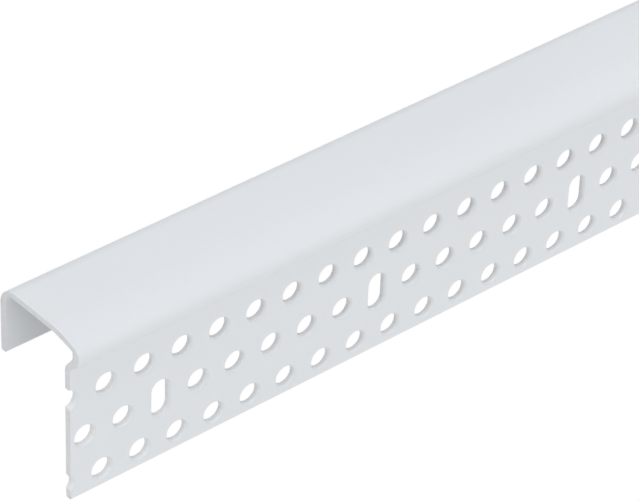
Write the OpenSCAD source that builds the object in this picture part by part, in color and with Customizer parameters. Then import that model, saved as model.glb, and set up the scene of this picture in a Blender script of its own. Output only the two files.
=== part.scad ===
// Drywall edge trim: one extruded length of rigid vinyl that caps the edge of a gypsum board.
// It lies on its back leg. The length runs along X, the web faces -Y and the flange is on top.
// The origin is midway along the length and across the width, on the level the back leg lies on.

/* [Length] */
// Length that the trim is sold in, 8 feet
trim_length = 2438.4; // [60.96:0.1:3048]

/* [Wall] */
// Thickness of flange and back leg
wall = 1.4; // [0.9:0.05:1.8]
// Thickness of the web, which is a little thinner
web_wall = 1.2; // [0.9:0.05:1.8]
// Rounding of the free edges of flange and back leg
edge_r = 0.35; // [0.1:0.05:0.4]

/* [Channel] */
// Clear gap between flange and back leg, which takes a 5/8 inch board
board_gap = 17.1; // [12.5:0.1:26]
// Width of the back leg, from the web's outer face
back_leg_w = 14.4; // [8:0.1:25]
// Outer rounding between web and back leg
back_corner_r = 4.0; // [0.5:0.1:5]
// Inner rounding between web and back leg
inner_corner_r = 2.4; // [0.5:0.1:3]

/* [Flange] */
// Width of the perforated flange, from the web's outer face
flange_w = 36.0; // [35:0.1:50]

/* [Nose] */
// How far the nose stands above the flange
nose_rise = 3.0; // [2:0.05:4]
// How far the nose falls from its tip to its shoulder
nose_fall = 0.75; // [0.2:0.05:1]
// How far the tip is set back from the web's face
nose_lean = 1.75; // [0.5:0.05:2.4]
// Where the web starts to lean, below the flange's face
lean_drop = 3.0; // [2:0.1:6]
// From the web's face to the nose's shoulder
nose_w = 4.95; // [4.4:0.05:6]
// Run of the step from the shoulder down to the flange
step_run = 1.85; // [1:0.05:3]
// Thickness of the nose above its hollow
nose_wall = 2.2; // [1.3:0.05:2.6]
// Width of the hollow under the nose
hollow_w = 1.65; // [1:0.05:2.2]
// Rounding of the nose's tip
tip_r = 2.0; // [0.4:0.1:2.2]
// Rounding of the shoulder, on the nose and in its hollow
shoulder_r = 1.5; // [0.2:0.1:2]
// Rounding of the hollow's corner next to the web
hollow_r = 0.4; // [0.1:0.1:0.6]
// Rounding at the foot of the step, above and below
foot_r = 2.5; // [0.5:0.1:3]
// Bend from the upright web into its lean
lean_r = 18; // [4:1:20]

/* [Perforation] */
// Length of one punched repeat, 2 inches
repeat_length = 50.8; // [40:0.1:60]
// Places along each row in one repeat
places_per_repeat = 6; // [4:1:8]
// Diameter of the round holes, about 11/64 inch
hole_d = 4.4; // [3:0.1:6]
// Distance between the rows
row_gap = 9.35; // [8.5:0.05:9.5]
// Row next to the free edge, from that edge to the hole centres
edge_row_gap = 3.65; // [3.2:0.05:4]
// How far the upper row runs ahead of an even stagger, and the lower row behind
row_slip = 0.5; // [0:0.05:1]
// Middle row's first hole, from the cut end at +X
first_hole_gap = 3.25; // [2.5:0.05:8]
// Place of the first nail slot in the middle row, counted from that end
first_slot_place = 3; // [1:1:4]
// Length of a nail slot, across the flange
slot_length = 8.0; // [6:0.5:11]
// Width of a nail slot
slot_w = 4.0; // [3:0.1:5]

/* [Hidden] */

depth = board_gap + 2 * wall;
hole_pitch = repeat_length / places_per_repeat;
row_c_y = flange_w - edge_row_gap;
row_b_y = row_c_y - row_gap;
row_a_y = row_b_y - row_gap;
tip_z = depth + nose_rise;
foot_y = nose_w + step_run;
hollow_z = tip_z - nose_wall;
// the web's lean as run over rise, and the hollow's corner on its inner face
lean = nose_lean / (nose_rise + lean_drop);
hollow_y = lean * (hollow_z - depth + lean_drop) + web_wall;
punch_over = 1;
arc_step = 9;

// One corner of the section: its place and its rounding
// The list runs round the wall, first along the outside and then back along the inside
section_corners = [
    [flange_w, depth, edge_r],
    [foot_y, depth, foot_r],
    [nose_w, tip_z - nose_fall, shoulder_r],
    [nose_lean, tip_z, tip_r],
    [0, depth - lean_drop, lean_r],
    [0, 0, back_corner_r],
    [back_leg_w, 0, edge_r],
    [back_leg_w, wall, edge_r],
    [web_wall, wall, inner_corner_r],
    [web_wall, depth - lean_drop - web_wall, lean_r - web_wall],
    [hollow_y, hollow_z, hollow_r],
    [hollow_y + hollow_w, hollow_z, shoulder_r],
    [foot_y, depth - wall, foot_r],
    [flange_w, depth - wall, edge_r],
];

function unit(v) = v / norm(v);
function cross2(a, b) = a[0] * b[1] - a[1] * b[0];
function place(corner) = [corner[0], corner[1]];

// Points of the arc that rounds corner b between its neighbours a and c
function rounded_corner(a, b, c) =
    let (
        to_a = unit(place(a) - place(b)),
        to_c = unit(place(c) - place(b)),
        half = acos(to_a * to_c) / 2,
        r = b[2],
        centre = place(b) + unit(to_a + to_c) * r / sin(half),
        start = place(b) + to_a * r / tan(half),
        arm = start - centre,
        turn = (180 - 2 * half) * sign(cross2(to_c, to_a)),
        steps = max(2, ceil(abs(turn) / arc_step))
    )
    [for (i = [0:steps]) let (t = turn * i / steps)
        centre + [arm[0] * cos(t) - arm[1] * sin(t), arm[0] * sin(t) + arm[1] * cos(t)]];

function rounded_outline(corners) =
    let (n = len(corners))
    [for (i = [0:n - 1]) each rounded_corner(corners[(i + n - 1) % n], corners[i], corners[(i + 1) % n])];

// The extruded wall, before it is punched
module extruded_wall() {
    rotate([90, 0, 90])
        linear_extrude(trim_length, center = true)
            polygon(rounded_outline(section_corners));
}

module round_punch() {
    translate([0, 0, depth - wall - punch_over])
        cylinder(d = hole_d, h = wall + 2 * punch_over, $fn = 48);
}

module slot_punch() {
    straight = slot_length - slot_w;
    translate([0, 0, depth - wall - punch_over])
        linear_extrude(wall + 2 * punch_over)
            polygon([for (side = [1, -1], t = [0:15:180])
                [cos(t) * slot_w / 2, straight / 2 + sin(t) * slot_w / 2] * side]);
}

// Punches one row: every place along the length whose opening reaches the stock
module punch_row(y, first_gap, with_slots) {
    reach = hole_d / 2;
    first = ceil((-reach - first_gap) / hole_pitch);
    last = floor((trim_length + reach - first_gap) / hole_pitch);
    for (i = [first:last])
        translate([trim_length / 2 - first_gap - i * hole_pitch, y, 0])
            if (with_slots && (i + places_per_repeat - first_slot_place + 1) % places_per_repeat == 0)
                slot_punch();
            else
                round_punch();
}

module edge_trim() {
    color([0.9, 0.91, 0.92])
        translate([0, -flange_w / 2, 0])
            difference() {
                extruded_wall();
                punch_row(row_a_y, first_hole_gap + hole_pitch / 2 + row_slip, false);
                punch_row(row_b_y, first_hole_gap, true);
                punch_row(row_c_y, first_hole_gap + hole_pitch / 2 - row_slip, false);
            }
}

edge_trim();
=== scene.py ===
"""Drywall edge trim: one stock length of white vinyl, lying on its back leg with the punched flange on top.

The wall is one mesh. One stroke of the punch, two inches of trim with three rows of openings, is laid out.
Geometry Nodes repeat it along the length, and both ends are then sawn off square.
"""

from math import acos, atan2, ceil, cos, degrees, pi, radians, sin, tan

import bmesh
import bpy
from mathutils import Euler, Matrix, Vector


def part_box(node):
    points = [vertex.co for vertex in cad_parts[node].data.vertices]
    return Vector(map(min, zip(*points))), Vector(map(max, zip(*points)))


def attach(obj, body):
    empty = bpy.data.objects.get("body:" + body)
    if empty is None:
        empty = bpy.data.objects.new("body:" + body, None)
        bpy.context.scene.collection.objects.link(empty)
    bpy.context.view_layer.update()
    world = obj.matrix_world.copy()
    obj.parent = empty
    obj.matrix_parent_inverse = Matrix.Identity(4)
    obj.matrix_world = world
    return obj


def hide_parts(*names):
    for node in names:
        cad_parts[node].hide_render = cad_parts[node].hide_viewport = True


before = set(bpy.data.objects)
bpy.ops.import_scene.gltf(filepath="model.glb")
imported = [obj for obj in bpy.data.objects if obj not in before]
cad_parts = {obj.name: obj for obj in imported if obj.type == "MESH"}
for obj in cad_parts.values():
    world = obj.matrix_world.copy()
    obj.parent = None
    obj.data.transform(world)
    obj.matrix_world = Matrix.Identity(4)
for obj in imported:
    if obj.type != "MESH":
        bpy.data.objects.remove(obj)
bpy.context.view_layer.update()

MM = 0.001

# The section, measured as the construction has it
wall = 1.4 * MM
web_wall = 1.2 * MM
edge_r = 0.35 * MM
board_gap = 17.1 * MM
back_leg_w = 14.4 * MM
back_corner_r = 4.0 * MM
inner_corner_r = 2.4 * MM
nose_rise = 3.0 * MM
nose_fall = 0.75 * MM
nose_lean = 1.75 * MM
lean_drop = 3.0 * MM
nose_w = 4.95 * MM
step_run = 1.85 * MM
nose_wall = 2.2 * MM
hollow_w = 1.65 * MM
tip_r = 2.0 * MM
shoulder_r = 1.5 * MM
hollow_r = 0.4 * MM
foot_r = 2.5 * MM
lean_r = 18.0 * MM

# The punch
repeat_length = 50.8 * MM
places_per_repeat = 6
hole_d = 4.4 * MM
row_gap = 9.35 * MM
edge_row_gap = 3.65 * MM
row_slip = 0.5 * MM
first_hole_gap = 3.25 * MM
first_slot_place = 3
slot_length = 8.0 * MM
slot_w = 4.0 * MM

# Fine edges that only show close up.
# The punched wall from the outer face down: how far it stands back from the opening's edge, at what depth.
# Its rim is rolled over, it springs back a little half-way down, and a low burr stands out below.
burr_height = 0.12 * MM
punched_profile = [
    (0.4 * MM, 0),
    (0.08 * MM, 0.22 * MM),
    (-0.08 * MM, 0.8 * MM),
    (0.03 * MM, wall + burr_height),
    (0.2 * MM, wall),
]
saw_arris = 0.04 * MM
arc_step = 6
hole_sides = 18
slot_end_sides = 9
crease_hold = 0.12 * MM
smooth_limit = 50
weld_distance = 0.003 * MM
on_plane = 0.002 * MM
saw_reach = on_plane / 4

# Worked out from the frame and the sizes above
trim_low, trim_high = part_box("edge_trim")
trim_length = trim_high.x - trim_low.x
flange_w = trim_high.y - trim_low.y
web_y = trim_low.y
cut_end_x = trim_high.x
depth = board_gap + 2 * wall
under = depth - wall
tip_z = depth + nose_rise
foot_y = nose_w + step_run
hollow_z = tip_z - nose_wall
lean = nose_lean / (nose_rise + lean_drop)
hollow_y = lean * (hollow_z - depth + lean_drop) + web_wall
hole_pitch = repeat_length / places_per_repeat
row_c_y = flange_w - edge_row_gap
row_b_y = row_c_y - row_gap
row_a_y = row_b_y - row_gap
band_start = row_a_y - row_gap / 2
band_end = flange_w - edge_r - crease_hold

# Corners of the section: distance from the web's face, height and rounding.
# They run along the outside from the foot of the step to the back leg, and back along the inside.
wall_corners = [
    (foot_y, depth, foot_r),
    (nose_w, tip_z - nose_fall, shoulder_r),
    (nose_lean, tip_z, tip_r),
    (0, depth - lean_drop, lean_r),
    (0, 0, back_corner_r),
    (back_leg_w, 0, edge_r),
    (back_leg_w, wall, edge_r),
    (web_wall, wall, inner_corner_r),
    (web_wall, depth - lean_drop - web_wall, lean_r - web_wall),
    (hollow_y, hollow_z, hollow_r),
    (hollow_y + hollow_w, hollow_z, shoulder_r),
    (foot_y, under, foot_r),
]
edge_corners = [
    (flange_w, under, edge_r),
    (flange_w, depth, edge_r),
]


# Section and outlines

def rounded_corner(before, corner, after):
    """Points of the arc that rounds a corner, with one more at each end that keeps the flats flat."""
    here = Vector(corner[:2])
    to_before = (Vector(before[:2]) - here).normalized()
    to_after = (Vector(after[:2]) - here).normalized()
    half = acos(to_before.dot(to_after)) / 2
    radius = corner[2]
    centre = here + (to_before + to_after).normalized() * radius / sin(half)
    start = here + to_before * radius / tan(half)
    end = here + to_after * radius / tan(half)
    arm = start - centre
    turn = (pi - 2 * half) * (1 if to_after.cross(to_before) > 0 else -1)
    steps = max(2, ceil(degrees(abs(turn)) / arc_step))
    points = [start + to_before * crease_hold]
    for i in range(steps + 1):
        t = turn * i / steps
        points.append(centre + Vector((arm.x * cos(t) - arm.y * sin(t), arm.x * sin(t) + arm.y * cos(t))))
    points.append(end + to_after * crease_hold)
    return points


def rounded_path(start, corners, end):
    """An open path across the section from start to end, rounded at each corner."""
    stops = [start] + corners + [end]
    path = [Vector(start)]
    for before, corner, after in zip(stops, corners, stops[2:]):
        path.extend(rounded_corner(before, corner, after))
    path.append(Vector(end))
    return path


def round_outline(grow):
    """A round hole's outline, opened up by so much all round."""
    r = hole_d / 2 + grow
    return [Vector((r * cos(2 * pi * i / hole_sides), r * sin(2 * pi * i / hole_sides)))
            for i in range(hole_sides)]


def slot_outline(grow):
    """A nail slot's outline, opened up by so much all round."""
    r = slot_w / 2 + grow
    straight = (slot_length - slot_w) / 2
    points = []
    for side in (1, -1):
        for i in range(slot_end_sides + 1):
            t = pi * i / slot_end_sides
            points.append(Vector((r * cos(t), straight + r * sin(t))) * side)
    return points


# One stroke of the punch

class Sheet:
    """Faces of the trim's wall as they are laid out, with a mark on those that the punch sheared."""

    def __init__(self):
        self.places = []
        self.faces = []
        self.punched = []

    def add(self, corners, punched=False):
        first = len(self.places)
        self.places.extend(corners)
        self.faces.append(list(range(first, first + len(corners))))
        self.punched.append(punched)


def borders_between(x_low, x_high, row_offset):
    """Places strictly between two others where the cells of a row meet."""
    n = ceil((x_low + row_offset) / hole_pitch + on_plane / hole_pitch)
    found = []
    while n * hole_pitch - row_offset < x_high - on_plane:
        found.append(n * hole_pitch - row_offset)
        n += 1
    return found


def around(loop, first, last):
    """Items of a closed loop from the first index on to the last."""
    count = (last - first) % len(loop)
    return [loop[(first + i) % len(loop)] for i in range(count + 1)]


def lay_flat(sheet, ring, border, corners, height, facing):
    """Fills the flat face between an opening and its cell's border, one face to each side of the cell."""
    angle_of = [atan2(p.y, p.x) for p in ring]

    def nearest(p):
        a = atan2(p.y, p.x)
        return min(range(len(ring)), key=lambda i: abs((angle_of[i] - a + pi) % (2 * pi) - pi))

    for first, last in zip(corners, corners[1:] + corners[:1]):
        outer = around(border, first, last)
        inner = around(ring, nearest(border[first]), nearest(border[last]))
        sheet.add(facing([*outer, *reversed(inner)], height))


def cell_border(low, high, lower_marks, upper_marks):
    """The cell's outline from its lower left corner, and which of its points are corners.
    The marks are the places where cells of the next rows meet it."""
    half = hole_pitch / 2
    lower = [Vector((x, low)) for x in [-half, *lower_marks, half]]
    upper = [Vector((x, high)) for x in [half, *reversed(upper_marks), -half]]
    corners = [0, len(lower) - 1, len(lower), len(lower) + len(upper) - 1]
    return lower + upper, corners


def lay_cell(sheet, centre, outline, border, corners):
    """One opening with its piece of flange: outer face, rolled-over rim, punched wall and inner face.
    The rim keeps the skin. The wall below it is marked as punched and gets the punched wall's colour, which
    is painted lighter than the skin as painted light."""
    def place(p, height):
        return Vector((centre.x + p.x, centre.y + p.y, height))

    def upward(points, height):
        return [place(p, height) for p in points]

    def downward(points, height):
        return [place(p, height) for p in reversed(points)]

    levels = [(outline(back), depth - down) for back, down in punched_profile]
    lay_flat(sheet, levels[0][0], border, corners, depth, upward)
    lay_flat(sheet, levels[-1][0], border, corners, under, downward)
    for (upper, top), (lower, bottom) in zip(levels, levels[1:]):
        for i in range(len(upper)):
            j = (i + 1) % len(upper)
            along_top = [place(upper[i], top), place(upper[j], top)]
            back_below = [place(lower[j], bottom), place(lower[i], bottom)]
            sheet.add(along_top + back_below, punched=top < depth)


def lay_swept(sheet, path, near_x, row_offset):
    """The plain part of the wall for one repeat: the path drawn out along the length.
    Its first and last faces take up the corners of the cells that they meet."""
    far_x = near_x - repeat_length
    marks = [far_x, *borders_between(far_x, near_x, row_offset), near_x]
    last = len(path) - 2
    for i in range(len(path) - 1):
        a, b = path[i], path[i + 1]
        start = [Vector((x, a.x, a.y)) for x in (reversed(marks) if i == 0 else (near_x, far_x))]
        end = [Vector((x, b.x, b.y)) for x in (marks if i == last else (far_x, near_x))]
        sheet.add(start + end)


def punch_stroke():
    """Two inches of trim, counted from the cut end."""
    sheet = Sheet()
    rows = [
        (row_a_y, first_hole_gap + hole_pitch / 2 + row_slip),
        (row_b_y, first_hole_gap),
        (row_c_y, first_hole_gap + hole_pitch / 2 - row_slip),
    ]
    lines = [band_start, (row_a_y + row_b_y) / 2, (row_b_y + row_c_y) / 2, band_end]

    def marks_of_row(k, x):
        """Where the cells of row k meet a cell at x, counted from that cell's middle."""
        if k not in range(len(rows)):
            return []
        meeting = borders_between(x - hole_pitch / 2, x + hole_pitch / 2, rows[k][1] - hole_pitch / 2)
        return [mark - x for mark in meeting]

    for k, (row_y, first_gap) in enumerate(rows):
        for i in range(places_per_repeat):
            x = -first_gap - i * hole_pitch
            marks = (marks_of_row(k - 1, x), marks_of_row(k + 1, x))
            border = cell_border(lines[k] - row_y, lines[k + 1] - row_y, *marks)
            is_slot = row_y == row_b_y and i == first_slot_place - 1
            lay_cell(sheet, Vector((x, row_y)), slot_outline if is_slot else round_outline, *border)

    nose_web_and_leg = rounded_path((band_start, depth), wall_corners, (band_start, under))
    free_edge = rounded_path((band_end, under), edge_corners, (band_end, depth))
    for path, row in ((nose_web_and_leg, rows[0]), (free_edge, rows[-1])):
        offset = row[1] - hole_pitch / 2
        lay_swept(sheet, path, -offset, offset)
    return sheet


def sheet_mesh(sheet, name):
    mesh = bpy.data.meshes.new(name)
    shift = Vector((cut_end_x, web_y, 0))
    mesh.from_pydata([p + shift for p in sheet.places], [], sheet.faces)
    mark = mesh.attributes.new("punched", "BOOLEAN", "FACE")
    mark.data.foreach_set("value", sheet.punched)
    return mesh


# The length, from repeated strokes

def repeat_tree():
    """Geometry Nodes tree that repeats a stroke along the length and welds the copies into one wall."""
    tree = bpy.data.node_groups.new("Strokes along the length", "GeometryNodeTree")
    face = tree.interface
    face.new_socket("Stroke", in_out="INPUT", socket_type="NodeSocketGeometry")
    for label, kind in (("Strokes", "NodeSocketInt"), ("Stroke length", "NodeSocketFloat"),
                        ("First stroke", "NodeSocketFloat"), ("Weld distance", "NodeSocketFloat"),
                        ("Skin", "NodeSocketMaterial"), ("Punched wall painted lighter", "NodeSocketMaterial")):
        face.new_socket(label, in_out="INPUT", socket_type=kind)
    face.new_socket("Wall", in_out="OUTPUT", socket_type="NodeSocketGeometry")
    new = tree.nodes.new
    link = tree.links.new
    given = new("NodeGroupInput")
    result = new("NodeGroupOutput")
    start = new("ShaderNodeCombineXYZ")
    link(given.outputs["First stroke"], start.inputs["X"])
    backwards = new("ShaderNodeMath")
    backwards.operation = "MULTIPLY"
    backwards.inputs[1].default_value = -1
    link(given.outputs["Stroke length"], backwards.inputs[0])
    step = new("ShaderNodeCombineXYZ")
    link(backwards.outputs[0], step.inputs["X"])
    line = new("GeometryNodeMeshLine")
    line.mode = "OFFSET"
    link(given.outputs["Strokes"], line.inputs["Count"])
    link(start.outputs[0], line.inputs["Start Location"])
    link(step.outputs[0], line.inputs["Offset"])
    copies = new("GeometryNodeInstanceOnPoints")
    link(line.outputs[0], copies.inputs["Points"])
    link(given.outputs["Stroke"], copies.inputs["Instance"])
    weld = new("GeometryNodeMergeByDistance")
    link(given.outputs["Weld distance"], weld.inputs["Distance"])
    real = new("GeometryNodeRealizeInstances")
    link(copies.outputs[0], real.inputs[0])
    link(real.outputs[0], weld.inputs["Geometry"])
    skin = new("GeometryNodeSetMaterial")
    link(weld.outputs[0], skin.inputs["Geometry"])
    link(given.outputs["Skin"], skin.inputs["Material"])
    mark = new("GeometryNodeInputNamedAttribute")
    mark.data_type = "BOOLEAN"
    mark.inputs["Name"].default_value = "punched"
    punched = new("GeometryNodeSetMaterial")
    link(skin.outputs[0], punched.inputs["Geometry"])
    link(mark.outputs["Attribute"], punched.inputs["Selection"])
    link(given.outputs["Punched wall painted lighter"], punched.inputs["Material"])
    link(punched.outputs[0], result.inputs["Wall"])
    return tree


def set_inputs(modifier, values):
    """Sets a tree's inputs by the identifiers of their sockets."""
    for item in modifier.node_group.interface.items_tree:
        if item.in_out == "INPUT" and item.name in values:
            modifier[item.identifier] = values[item.name]


def punched_length(skin, punched):
    """The whole punched length, a little longer than the stock at both ends."""
    mesh = sheet_mesh(punch_stroke(), "punch_stroke")
    mesh.materials.append(skin)
    mesh.materials.append(punched)
    piece = bpy.data.objects.new("vinyl_edge_trim", mesh)
    bpy.context.scene.collection.objects.link(piece)
    modifier = piece.modifiers.new("Strokes", "NODES")
    modifier.node_group = repeat_tree()
    set_inputs(modifier, {
        "Strokes": ceil(trim_length / repeat_length) + 2,
        "Stroke length": repeat_length,
        "First stroke": repeat_length,
        "Weld distance": weld_distance,
        "Skin": skin,
        "Punched wall painted lighter": punched,
    })
    graph = bpy.context.evaluated_depsgraph_get()
    whole = bpy.data.meshes.new_from_object(piece.evaluated_get(graph), depsgraph=graph)
    piece.modifiers.clear()
    piece.data = whole
    whole.name = "vinyl_edge_trim"
    return piece


def saw_off(piece, x, outward, sawn_index):
    """Saws the wall off square at x, breaks the arris and closes the end face.
    At a sharp corner the arris moves in by at most twice its size."""
    least_share = 0.5
    bm = bmesh.new()
    bm.from_mesh(piece.data)
    for at, keep_outer in ((x, False), (x - outward * saw_arris, True)):
        bmesh.ops.bisect_plane(bm, geom=bm.verts[:] + bm.edges[:] + bm.faces[:], dist=saw_reach,
                               plane_co=(at, 0, 0), plane_no=(outward, 0, 0), clear_outer=not keep_outer)
    end_verts = [v for v in bm.verts if abs(v.co.x - x) < on_plane]
    moves = []
    for v in end_verts:
        normals = [Vector((0, f.normal.y, f.normal.z)).normalized() for f in v.link_faces]
        together = sum(normals, Vector()).normalized()
        share = max(least_share, min(together.dot(n) for n in normals))
        moves.append(together * (saw_arris / share))
    for v, move in zip(end_verts, moves):
        v.co -= move
    rim = [e for e in bm.edges if e.is_boundary and all(abs(v.co.x - x) < on_plane for v in e.verts)]
    filled = bmesh.ops.triangle_fill(bm, use_beauty=True, edges=rim)["geom"]
    for face in filled:
        if isinstance(face, bmesh.types.BMFace):
            face.normal_update()
            if face.normal.x * outward < 0:
                face.normal_flip()
            face.material_index = sawn_index
    bm.to_mesh(piece.data)
    bm.free()


def finish_edges(piece):
    """Smooth roundings with crisp edges between them."""
    piece.data.attributes.remove(piece.data.attributes["punched"])
    piece.data.shade_smooth()
    piece.data.set_sharp_from_angle(angle=radians(smooth_limit))
    flats = piece.modifiers.new("Flat faces stay flat", "WEIGHTED_NORMAL")
    flats.keep_sharp = True


# Materials

vinyl_ior = 1.53


def new_material(name):
    material = bpy.data.materials.new(name)
    material.use_nodes = True
    nodes = material.node_tree.nodes
    nodes.clear()
    output = nodes.new("ShaderNodeOutputMaterial")
    return material, nodes, material.node_tree.links, output


def stretched_noise(nodes, links, per_metre, detail, offset=(0, 0, 0)):
    """Noise on the object's own coordinates, with so many features to the metre along X, Y and Z."""
    where = nodes.new("ShaderNodeTexCoord")
    mapping = nodes.new("ShaderNodeMapping")
    mapping.inputs["Scale"].default_value = per_metre
    mapping.inputs["Location"].default_value = offset
    noise = nodes.new("ShaderNodeTexNoise")
    noise.inputs["Scale"].default_value = 1
    noise.inputs["Detail"].default_value = detail
    links.new(where.outputs["Object"], mapping.inputs["Vector"])
    links.new(mapping.outputs[0], noise.inputs["Vector"])
    return noise.outputs["Fac"]


def spread(nodes, links, value, low, high):
    """Maps the middle of a noise onto a range."""
    noise_low = 0.3
    noise_high = 0.7
    ramp = nodes.new("ShaderNodeMapRange")
    ramp.inputs["From Min"].default_value = noise_low
    ramp.inputs["From Max"].default_value = noise_high
    ramp.inputs["To Min"].default_value = low
    ramp.inputs["To Max"].default_value = high
    links.new(value, ramp.inputs["Value"])
    return ramp.outputs["Result"]


def blend_colours(nodes, links, factor, first, second):
    """A colour that goes from the first to the second as the factor goes from 0 to 1."""
    mix = nodes.new("ShaderNodeMix")
    mix.data_type = "RGBA"
    mix.inputs["A"].default_value = (*first, 1)
    mix.inputs["B"].default_value = (*second, 1)
    links.new(factor, mix.inputs["Factor"])
    return mix.outputs["Result"]


def relief(nodes, links, height, relief_depth, strength, under_it=None):
    """A bump as deep as given, on top of the one under it."""
    bump = nodes.new("ShaderNodeBump")
    bump.inputs["Distance"].default_value = relief_depth
    bump.inputs["Strength"].default_value = strength
    links.new(height, bump.inputs["Height"])
    if under_it:
        links.new(under_it, bump.inputs["Normal"])
    return bump.outputs["Normal"]


def satin_vinyl():
    """The extruded skin: satin white, with faint die lines along the length and a slightly uneven sheen."""
    darker = (0.774, 0.780, 0.784)
    lighter = (0.790, 0.795, 0.799)
    material, nodes, links, output = new_material("satin_vinyl")
    shader = nodes.new("ShaderNodeBsdfPrincipled")
    shader.inputs["IOR"].default_value = vinyl_ior
    links.new(shader.outputs[0], output.inputs["Surface"])
    clouds = stretched_noise(nodes, links, per_metre=(9, 60, 60), detail=3)
    tone = spread(nodes, links, clouds, low=0, high=1)
    links.new(blend_colours(nodes, links, tone, darker, lighter), shader.inputs["Base Color"])
    sheen = stretched_noise(nodes, links, per_metre=(25, 420, 420), detail=4, offset=(3, 1, 7))
    links.new(spread(nodes, links, sheen, low=0.36, high=0.46), shader.inputs["Roughness"])
    die_lines = stretched_noise(nodes, links, per_metre=(3, 1500, 1500), detail=2, offset=(1, 5, 2))
    grain = stretched_noise(nodes, links, per_metre=(2200, 2200, 2200), detail=2)
    waves = stretched_noise(nodes, links, per_metre=(14, 45, 45), detail=1, offset=(6, 2, 4))
    waved = relief(nodes, links, waves, relief_depth=0.12 * MM, strength=0.5)
    lined = relief(nodes, links, die_lines, relief_depth=0.008 * MM, strength=0.6, under_it=waved)
    grained = relief(nodes, links, grain, relief_depth=0.004 * MM, strength=0.5, under_it=lined)
    links.new(grained, shader.inputs["Normal"])
    return material


def sheared_vinyl(name, darker, lighter):
    """A cut face in the colours given: duller and less cool than the skin, with fine tool marks. The punched
    wall's colours are painted light.
    """
    material, nodes, links, output = new_material(name)
    shader = nodes.new("ShaderNodeBsdfPrincipled")
    shader.inputs["IOR"].default_value = vinyl_ior
    links.new(shader.outputs[0], output.inputs["Surface"])
    mottle = stretched_noise(nodes, links, per_metre=(700, 700, 700), detail=3)
    tone = spread(nodes, links, mottle, low=0, high=1)
    links.new(blend_colours(nodes, links, tone, darker, lighter), shader.inputs["Base Color"])
    links.new(spread(nodes, links, mottle, low=0.55, high=0.7), shader.inputs["Roughness"])
    tool_marks = stretched_noise(nodes, links, per_metre=(3500, 5200, 500), detail=2, offset=(2, 3, 1))
    marked = relief(nodes, links, tool_marks, relief_depth=0.012 * MM, strength=0.7)
    links.new(marked, shader.inputs["Normal"])
    return material


# Stage, light and camera

def white_floor():
    """A plain white floor that the camera sees as white as paper, with hardly a shadow on it."""
    paper_share = 0.94
    paper_level = 1.03
    matt_white = (0.86, 0.86, 0.86, 1)
    half_width = 60
    below_trim = 0.05 * MM
    material, nodes, links, output = new_material("paper_floor")
    matt = nodes.new("ShaderNodeBsdfDiffuse")
    matt.inputs["Color"].default_value = matt_white
    bright = nodes.new("ShaderNodeEmission")
    bright.inputs["Strength"].default_value = paper_level
    seen = nodes.new("ShaderNodeLightPath")
    share = nodes.new("ShaderNodeMath")
    share.operation = "MULTIPLY"
    share.inputs[1].default_value = paper_share
    links.new(seen.outputs["Is Camera Ray"], share.inputs[0])
    mix = nodes.new("ShaderNodeMixShader")
    links.new(share.outputs[0], mix.inputs["Fac"])
    links.new(matt.outputs[0], mix.inputs[1])
    links.new(bright.outputs[0], mix.inputs[2])
    links.new(mix.outputs[0], output.inputs["Surface"])
    corners = [(x * half_width, y * half_width, 0) for x, y in ((-1, -1), (1, -1), (1, 1), (-1, 1))]
    mesh = bpy.data.meshes.new("floor")
    mesh.from_pydata(corners, [], [(0, 1, 2, 3)])
    floor = bpy.data.objects.new("floor", mesh)
    floor.location.z = -below_trim
    bpy.context.scene.collection.objects.link(floor)
    mesh.materials.append(material)


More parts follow.
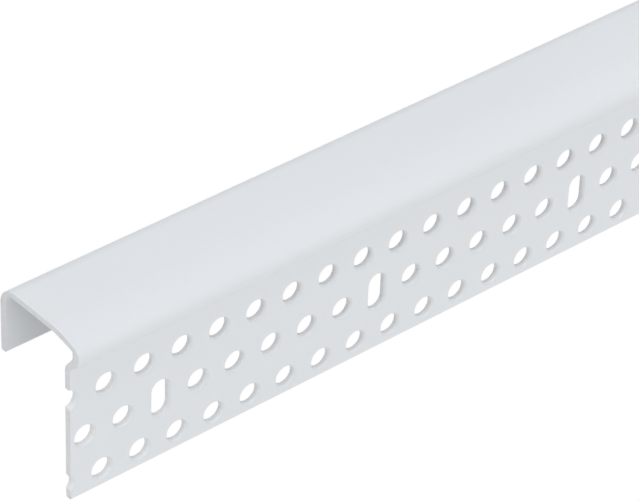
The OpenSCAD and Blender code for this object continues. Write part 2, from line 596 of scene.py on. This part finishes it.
def studio_light():
    """Soft surroundings, brighter and plainer behind the flange's free edge, and two broad cool lights
    on the web's side."""
    surroundings = 0.7
    brighter_behind = 0.3
    cool_light = (0.965, 1, 1.035)
    plain_light = (1, 1, 1)
    softness = radians(40)
    broad_lights = (
        ("low_soft_light", 0.82, (0.1, -0.98, 0.15)),
        ("high_soft_light", 0.72, (0.1, -0.6, 0.8)),
    )
    world = bpy.data.worlds.new("studio")
    bpy.context.scene.world = world
    world.use_nodes = True
    nodes = world.node_tree.nodes
    links = world.node_tree.links
    nodes.clear()
    output = nodes.new("ShaderNodeOutputWorld")
    soft = nodes.new("ShaderNodeBackground")
    backdrop = nodes.new("ShaderNodeBackground")
    for background in (soft, backdrop):
        background.inputs["Color"].default_value = (1, 1, 1, 1)
        background.inputs["Strength"].default_value = 1
    direction = nodes.new("ShaderNodeTexCoord")
    split = nodes.new("ShaderNodeSeparateXYZ")
    links.new(direction.outputs["Generated"], split.inputs[0])
    level = nodes.new("ShaderNodeMath")
    level.operation = "MULTIPLY_ADD"
    level.inputs[1].default_value = brighter_behind
    level.inputs[2].default_value = surroundings
    links.new(split.outputs["Y"], level.inputs[0])
    links.new(level.outputs[0], soft.inputs["Strength"])
    tint = blend_colours(nodes, links, split.outputs["Y"], cool_light, plain_light)
    links.new(tint, soft.inputs["Color"])
    path = nodes.new("ShaderNodeLightPath")
    mix = nodes.new("ShaderNodeMixShader")
    links.new(path.outputs["Is Camera Ray"], mix.inputs["Fac"])
    links.new(soft.outputs[0], mix.inputs[1])
    links.new(backdrop.outputs[0], mix.inputs[2])
    links.new(mix.outputs[0], output.inputs["Surface"])

    for name, energy, from_side in broad_lights:
        light = bpy.data.lights.new(name, "SUN")
        light.energy = energy
        light.color = cool_light
        light.angle = softness
        lamp = bpy.data.objects.new(name, light)
        lamp.rotation_euler = Vector(from_side).to_track_quat("Z", "Y").to_euler()
        bpy.context.scene.collection.objects.link(lamp)


def photo_camera():
    """The photograph's view, from past the cut end, before the web and above the flange, with the web up."""
    focal_px = 3721.4
    frame_px = 639
    sensor_mm = 36
    beyond_end = 301.8 * MM
    before_web = 390.6 * MM
    above_flange = 401.2 * MM
    turn = 42.02
    look_down = 36.87
    roll = -125.98
    nearest = 0.01
    farthest = 200
    data = bpy.data.cameras.new("camera")
    data.sensor_width = sensor_mm
    data.lens = focal_px / frame_px * sensor_mm
    data.clip_start = nearest
    data.clip_end = farthest
    camera = bpy.data.objects.new("camera", data)
    camera.location = (cut_end_x + beyond_end, web_y - before_web, depth + above_flange)
    level = Euler((radians(90 - look_down), 0, radians(turn))).to_matrix()
    spin = Euler((0, 0, radians(-roll))).to_matrix()
    camera.rotation_euler = (level @ spin).to_euler()
    bpy.context.scene.collection.objects.link(camera)
    bpy.context.scene.camera = camera


# The scene

skin = satin_vinyl()
# The punched wall's colour is painted light. It is lighter than the skin and stands in for the light that
# reaches the walls of the openings.
punched = sheared_vinyl("punched_vinyl_painted_lighter", (0.84, 0.84, 0.84), (0.88, 0.88, 0.88))
sawn = sheared_vinyl("sawn_vinyl", (0.755, 0.755, 0.75), (0.80, 0.80, 0.795))
trim = punched_length(skin, punched)
trim.data.materials.append(sawn)
sawn_index = trim.data.materials.find(sawn.name)
saw_off(trim, cut_end_x, 1, sawn_index)
saw_off(trim, trim_low.x, -1, sawn_index)
finish_edges(trim)
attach(trim, "root")
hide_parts("edge_trim")

white_floor()
studio_light()
photo_camera()
bpy.context.scene.view_settings.view_transform = "Standard"
